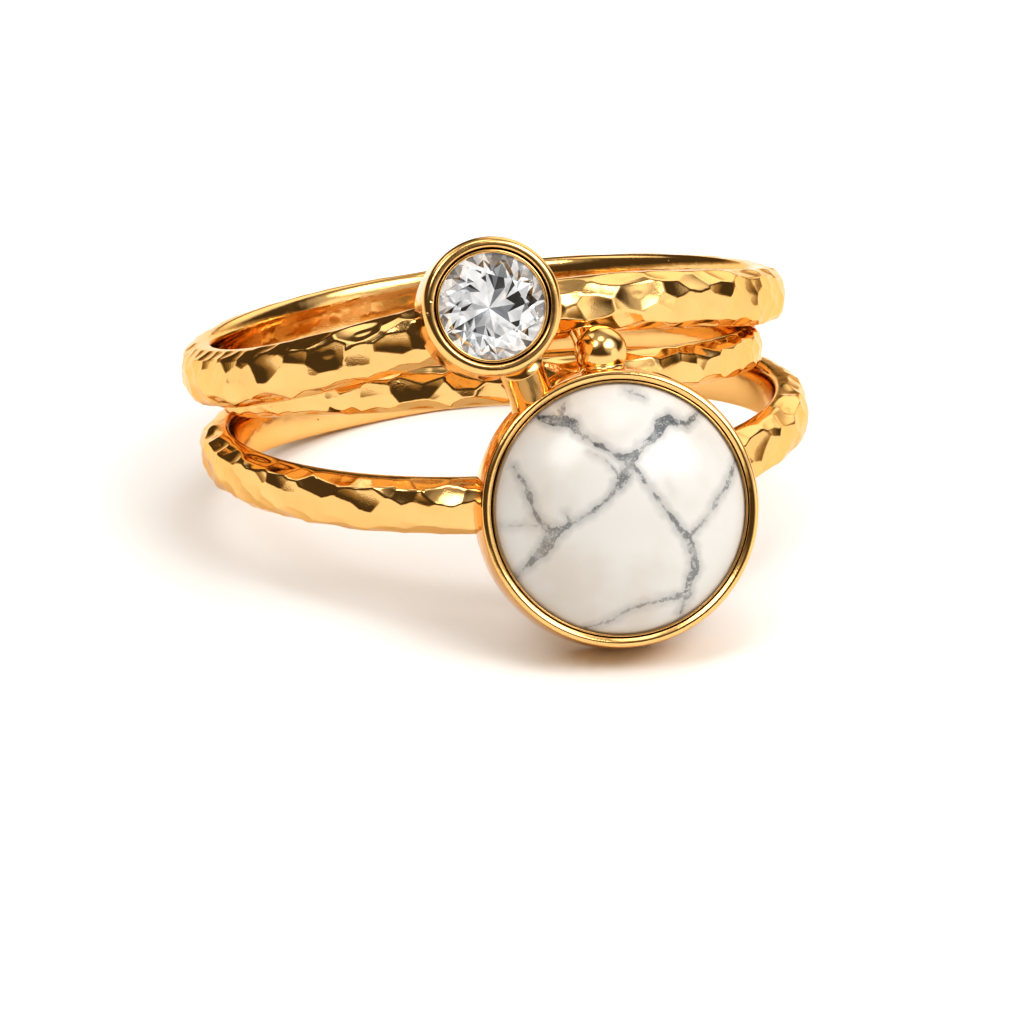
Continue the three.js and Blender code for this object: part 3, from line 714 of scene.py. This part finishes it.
neckStart = wallPoint(largeFrame, joins["neckAngle"], biteRadius, joins["neckDepth"] * largeStand)
neckTurn = math.radians(joins["neckAzimuth"])
neckRadius = ring["fingerRadius"] + joins["neckInside"] * ring["outerThickness"]
neckHeight = bandLine(bandTable["top_band"], neckTurn) - joins["neckLow"] * ring["outerHeight"]
neckEnd = np.array([neckRadius * math.sin(neckTurn), -neckRadius * math.cos(neckTurn), neckHeight])
addPost("band_neck", neckStart, neckEnd, joins["neckRadius"], joins["neckFlare"])


# a granule's outline: a circle down to the cut, in radians from its top, then a foot that spreads with
# the share squared into the wall it is fused to
def ballProfile():
    radius = joins["ballRadius"]
    angle = np.linspace(0, joins["ballCut"], joins["ballRings"])
    sphere = np.stack([radius * np.sin(angle), radius * np.cos(angle)], 1)
    across, low = sphere[-1]
    share = np.linspace(0, 1, joins["footRings"])[1:, None]
    spread = np.concatenate([joins["ballFoot"] * share ** 2, -joins["footDrop"] * share], 1)
    foot = np.array([across, low]) + spread
    return np.concatenate([sphere, foot, [[0, foot[-1, 1]]]])


ballReach = largeRim + joins["ballRadius"] - joins["ballSeat"]
ballMiddle = wallPoint(largeFrame, joins["ballAngle"], ballReach, joins["ballDepth"] * largeStand)
ballRoot = wallPoint(largeFrame, joins["ballAngle"], 0, joins["ballDepth"] * largeStand)
points, faces = turned(ballProfile(), joins["turnSteps"])
addPiece("gold_ball", moved(points, standing(ballMiddle, ballMiddle - ballRoot)), faces, polishedGold,
         "ring_metal")
print("post, neck and ball made")

# paths of the web in the stone's own millimetres: a tone, then across, up and half width at each bend
veins = [
    (1.0, [(-2.15, 3.12, 0.06), (-1.94, 3.0, 0.13), (-1.53, 2.92, 0.19), (-1.19, 2.81, 0.17),
           (-1.08, 2.58, 0.13), (-0.93, 2.38, 0.07), (-0.69, 2.16, 0.07), (-0.36, 1.94, 0.06),
           (-0.11, 1.75, 0.06), (0.14, 1.56, 0.12), (0.34, 1.48, 0.2)]),
    (0.75, [(-1.53, 2.92, 0.1), (-1.45, 3.22, 0.1), (-1.3, 3.45, 0.03)]),
    (1.0, [(0.34, 1.48, 0.2), (0.58, 1.6, 0.12), (0.8, 1.78, 0.12), (1.08, 1.99, 0.14),
           (1.33, 2.17, 0.18), (1.57, 2.42, 0.2), (1.78, 2.54, 0.17), (2.04, 2.39, 0.12),
           (2.29, 2.32, 0.1), (2.56, 2.47, 0.09), (2.8, 2.66, 0.03)]),
    (0.95, [(0.34, 1.48, 0.2), (0.27, 1.24, 0.17), (0.08, 0.96, 0.17), (-0.14, 0.71, 0.1)]),
    (0.85, [(-0.14, 0.71, 0.08), (-0.43, 0.41, 0.05), (-0.73, 0.2, 0.05), (-1.06, 0.03, 0.06),
            (-1.38, -0.11, 0.05), (-1.64, -0.23, 0.06), (-1.95, -0.35, 0.12), (-2.23, -0.44, 0.2),
            (-2.45, -0.75, 0.2), (-2.65, -0.97, 0.17), (-2.91, -1.19, 0.07), (-3.11, -1.36, 0.055),
            (-3.42, -1.61, 0.04)]),
    (0.85, [(-3.13, 1.73, 0.03), (-2.98, 1.35, 0.045), (-2.82, 1.02, 0.07), (-2.77, 0.74, 0.08),
            (-2.75, 0.46, 0.05), (-2.64, 0.11, 0.055), (-2.44, -0.2, 0.1), (-2.23, -0.44, 0.17)]),
    (0.85, [(0.42, 1.4, 0.1), (0.52, 1.21, 0.06), (0.68, 0.85, 0.045), (0.89, 0.51, 0.04),
            (1.09, 0.15, 0.05), (1.26, -0.18, 0.06), (1.47, -0.52, 0.07), (1.69, -0.86, 0.1),
            (1.85, -1.13, 0.14), (1.94, -1.48, 0.13), (1.97, -1.83, 0.1), (1.97, -2.11, 0.16),
            (1.78, -2.43, 0.1), (1.66, -2.79, 0.14), (1.54, -3.12, 0.1), (1.4, -3.42, 0.04)]),
    (0.75, [(3.71, 1.02, 0.035), (3.5, 0.65, 0.055), (3.3, 0.27, 0.06), (3.0, 0.01, 0.07),
            (2.75, -0.33, 0.05), (2.49, -0.6, 0.045), (2.24, -0.81, 0.06), (1.99, -1.03, 0.08)]),
    (0.7, [(1.62, -2.85, 0.1), (1.17, -2.91, 0.08), (0.72, -2.94, 0.07), (0.41, -2.96, 0.06),
           (0.03, -3.03, 0.045), (-0.35, -3.14, 0.05), (-0.7, -3.32, 0.045), (-1.1, -3.42, 0.03),
           (-1.52, -3.5, 0.02)]),
    (0.45, [(-3.72, -0.05, 0.02), (-3.38, -0.09, 0.03), (-3.0, -0.1, 0.03), (-2.59, -0.18, 0.02)]),
    (0.8, [(0.6, 3.6, 0.05), (0.97, 3.42, 0.08), (1.16, 3.27, 0.03)]),
    (0.22, [(1.33, 1.16, 0.016), (1.46, 0.77, 0.019), (1.55, 0.33, 0.018)]),
    (0.7, [(-1.77, 0.12, 0.03), (-1.74, -0.07, 0.045), (-1.6, -0.23, 0.04)]),
    (0.6, [(-0.84, 1.9, 0.02), (-0.41, 1.64, 0.03), (-0.1, 1.2, 0.03), (0.02, 0.98, 0.05)]),
]


# for each point: how deep it is inside the nearest path, half width less distance, and that path's tone
def veinFields(flat):
    inside = np.full(len(flat), -9.0)
    tone = np.zeros(len(flat))
    for strength, path in veins:
        nodes = np.array(path)
        for start, end in zip(nodes, nodes[1:]):
            side = end[:2] - start[:2]
            share = np.clip(((flat - start[:2]) @ side) / (side @ side), 0, 1)
            gap = np.linalg.norm(flat - start[:2] - share[:, None] * side, axis=1)
            depth = start[2] + share * (end[2] - start[2]) - gap
            tone = np.where(depth > inside, strength, tone)
            inside = np.maximum(inside, depth)
    return np.maximum(inside, -1.0), tone


# flat back with a bevel, straight side and a dome whose height falls with the radius by domeFill
def cabochonPiece():
    radius, bevel = cabochon["radius"], cabochon["bevel"]
    share = np.linspace(0, 1, cabochon["domeRings"])
    rings = radius * np.cos(np.pi / 2 * share ** cabochon["ringSpacing"])
    rings[-1] = 0
    dome = np.stack([rings, largeShoulder + cabochon["dome"] * domeFill(rings)], 1)
    side = np.array([[0, cabochonBack], [radius - bevel, cabochonBack],
                     [radius, cabochonBack + bevel]])
    points, faces = turned(np.concatenate([side, dome]), cabochon["turnSteps"])
    inside, tone = veinFields(points[:, :2])
    addPiece("howlite_stone", moved(points, largeFrame), faces, polishedHowlite,
             "howlite_cabochon", attributes={"veinInside": inside, "veinTone": tone})


cabochonPiece()
print("cabochon made")


# eightfold brilliant: table, stars, kites and upper halves above the girdle, and below it rings of
# facets on a cone, each with its own painted flash tone; a corner is a radius, a count of half steps and a
# height
def brilliantPiece():
    radius, mains = brilliant["radius"], 8
    half = math.pi / mains
    table, star = brilliant["table"] * radius, brilliant["star"] * radius
    top = girdleTop + brilliant["crown"]
    starHeight = girdleTop + crownSlope * (radius - star * math.cos(half))
    points, faces, tones = [], [], []

    def corner(across, halves, height):
        return across * math.cos(halves * half), across * math.sin(halves * half), height

    def facet(*corners, tone=-1.0):
        faces.append(list(range(len(points), len(points) + len(corners))))
        points.extend(corners)
        tones.append(tone)

    facet(*[corner(table, 2 * main, top) for main in range(mains)])
    for at in range(0, 2 * mains, 2):
        tip, tipBefore = corner(star, at + 1, starHeight), corner(star, at - 1, starHeight)
        facet(corner(table, at, top), tip, corner(table, at + 2, top))
        facet(corner(table, at, top), tipBefore, corner(radius, at, girdleTop), tip)
        for start in (at, at + 1):
            quarter = [start, start + 0.5, start + 1]
            facet(tip, *[corner(radius, place, girdleTop) for place in quarter])
            for first, second in zip(quarter, quarter[1:]):
                facet(corner(radius, first, girdleTop), corner(radius, first, girdleBottom),
                      corner(radius, second, girdleBottom), corner(radius, second, girdleTop))

    random = np.random.default_rng(brilliant["seed"])
    inner = [corner(0, 0, culet)]
    for (even, odd, count), choice in zip(brilliant["rearRings"], brilliant["paintedRearFlashes"]):
        outer = []
        for place in range(count):
            across = radius * (odd if place % 2 else even)
            height = girdleBottom if across == radius else culet + pavilionSlope * across
            outer.append(corner(across, place * 2 * mains / count, height))
        ratio = count // len(inner)
        for place in range(count):
            after = (place + 1) % count
            behindCorner = inner[(place // ratio) % len(inner)]
            facet(behindCorner, outer[after], outer[place], tone=random.choice(choice))
            if len(inner) > 1 and (place + 1) % ratio == 0:
                nextCorner = inner[(place // ratio + 1) % len(inner)]
                facet(behindCorner, nextCorner, outer[after], tone=random.choice(choice))
        inner = outer
    piece = addPiece("brilliant_stone", moved(np.array(points), smallFrame), faces, clearZirconia,
                     "clear_brilliant", smooth=False)
    tones = np.array(tones)
    piece.data.materials.append(rearZirconia)
    piece.data.polygons.foreach_set("material_index", (tones >= 0).astype(np.int32))
    # painted flashes: each rear facet's tone, dark to white
    label = piece.data.attributes.new("paintedFacetFlash", "FLOAT", "FACE")
    label.data.foreach_set("value", np.maximum(tones, 0).astype(np.float32))


brilliantPiece()
print("brilliant made")

studio = {
    "floorColours": ("#f2f1ef", "#f5f5f4"),
    "floorMottleMm": 8.0,
    "floorRoughness": 0.6,
    "floorShine": 0.2,
    "floorHalf": 3.0,     # metres
    "roomStrength": 1.0,
    # room walls by height, 0 straight down, 0.5 level, 1 straight up: pale floor, olive-brown wall, pale
    # ceiling
    "walls": [(0.0, "#efefef"), (0.5, "#efefef"), (0.53, "#b79d71"), (0.582, "#4a4030"),
              (0.82, "#564b39"), (0.92, "#958c7e"), (1.0, "#c9c5be")],
    # soft lights in the room: azimuth and height in degrees, angular radius, soft edge, brightness
    "softLights": [(-46, 53, 10.5, 5, 5.4), (-44, 53, 18, 9, 0.4), (59, 46, 15, 6, 4.6),
                   (37, 48, 10, 6, 4.6), (54, 38, 28, 10, 0.7), (150, 32, 22, 12, 1.6),
                   (-120, 48, 12, 8, 1.6), (5, 82, 9, 5, 2.8), (62, 5, 15, 7, 1.0)],
    # overhead softbox, a fill that polished metal doesn't mirror: azimuth, height, distance and size in
    # metres, watts
    "softbox": {"azimuth": 180, "height": 80, "distance": 0.7, "size": (0.6, 0.5), "power": 1.8},
}


# Matt white acrylic board: an even white with a very faint mottle, and hardly any gloss.
def floorMaterial():
    material, tree, place = newMaterial("matt_white_board")
    mottle = addNode(tree, "ShaderNodeTexNoise", inputs={
        "Vector": place, "Scale": lumps(studio["floorMottleMm"])})
    first, second = studio["floorColours"]
    colour = addNode(tree, "ShaderNodeMix", {"data_type": "RGBA"}, {
        0: mottle.outputs["Fac"], 6: colourOf(first), 7: colourOf(second)})
    shader = addNode(tree, "ShaderNodeBsdfPrincipled", inputs={
        "Base Color": colour.outputs[2], "Roughness": studio["floorRoughness"],
        "Specular IOR Level": studio["floorShine"]})
    addNode(tree, "ShaderNodeOutputMaterial", inputs={"Surface": shader.outputs[0]})
    return material


# a square of floor with the ring at its middle
def addFloor():
    edge = studio["floorHalf"]
    mesh = bpy.data.meshes.new("floor")
    mesh.from_pydata([(-edge, -edge, 0), (edge, -edge, 0), (edge, edge, 0), (-edge, edge, 0)], [],
                     [(0, 1, 2, 3)])
    mesh.materials.append(floorMaterial())
    floor = bpy.data.objects.new("floor", mesh)
    bpy.context.scene.collection.objects.link(floor)


# direction from the ring to an azimuth and a height in degrees
def towardsPlace(azimuth, height):
    turn, rise = math.radians(azimuth), math.radians(height)
    return Vector((math.sin(turn) * math.cos(rise), -math.cos(turn) * math.cos(rise), math.sin(rise)))


# a rectangle of light that faces the ring from its place
def addSoftbox(box):
    back = towardsPlace(box["azimuth"], box["height"])
    light = bpy.data.lights.new("overhead_softbox", "AREA")
    light.shape, light.size, light.size_y = "RECTANGLE", *box["size"]
    light.energy = box["power"]
    piece = bpy.data.objects.new("overhead_softbox", light)
    piece.location = back * box["distance"]
    piece.rotation_euler = (-back).to_track_quat("-Z", "Y").to_euler()
    piece.visible_glossy = False
    bpy.context.scene.collection.objects.link(piece)


# the room: wall colours by height, plus soft round lights, each a smooth step of the angle from its middle
def makeRoom():
    world = bpy.data.worlds.new("studio")
    world.use_nodes = True
    tree = world.node_tree
    tree.nodes.clear()
    direction = addNode(tree, "ShaderNodeTexCoord").outputs["Generated"]
    height = addNode(tree, "ShaderNodeSeparateXYZ", inputs={"Vector": direction})
    share = addNode(tree, "ShaderNodeMapRange", inputs={
        "Value": height.outputs["Z"], "From Min": -1.0})
    ramp = addNode(tree, "ShaderNodeValToRGB", inputs={"Fac": share.outputs[0]})
    stops = ramp.color_ramp.elements
    for number, (place, colour) in enumerate(studio["walls"]):
        stop = stops[number] if number < 2 else stops.new(place)
        stop.position, stop.color = place, colourOf(colour)
    total = ramp.outputs[0]
    for azimuth, rise, radius, edge, level in studio["softLights"]:
        nearness = addNode(tree, "ShaderNodeVectorMath", {"operation": "DOT_PRODUCT"}, {
            0: direction, 1: towardsPlace(azimuth, rise)})
        spot = addNode(tree, "ShaderNodeMapRange", {"interpolation_type": "SMOOTHSTEP"}, {
            "Value": nearness.outputs["Value"], "From Min": math.cos(math.radians(radius + edge)),
            "From Max": math.cos(math.radians(radius - edge)), "To Max": level})
        total = addNode(tree, "ShaderNodeVectorMath", {"operation": "ADD"}, {
            0: total, 1: spot.outputs[0]}).outputs[0]
    light = addNode(tree, "ShaderNodeBackground", inputs={
        "Color": total, "Strength": studio["roomStrength"]})
    addNode(tree, "ShaderNodeOutputWorld", inputs={"Surface": light.outputs[0]})
    bpy.context.scene.world = world


# where the photographer stood: location in millimetres, the rest in degrees
camera = {"location": (-5.264, -200.902, 89.951), "azimuth": -1.615, "height": 23.99, "roll": -1.439,
          "lens": 239.569, "sensor": 36, "clip": (0.01, 10)}


# the camera looks back along its place's direction, with its level side turned by the roll
def addCamera():
    back = towardsPlace(camera["azimuth"], camera["height"])
    level = Vector((0, 0, 1)).cross(back).normalized()
    right = Matrix.Rotation(math.radians(camera["roll"]), 3, back) @ level
    data = bpy.data.cameras.new("camera")
    data.lens, data.sensor_width = camera["lens"], camera["sensor"]
    data.clip_start, data.clip_end = camera["clip"]
    piece = bpy.data.objects.new("camera", data)
    matrix = Matrix((right, back.cross(right), back)).transposed().to_4x4()
    matrix.translation = Vector(camera["location"]) * 0.001
    piece.matrix_world = matrix
    bpy.context.scene.collection.objects.link(piece)
    bpy.context.scene.camera = piece


addFloor()
addSoftbox(studio["softbox"])
makeRoom()
addCamera()
bpy.context.scene.view_settings.view_transform = "Standard"
print("floor, light and camera made")
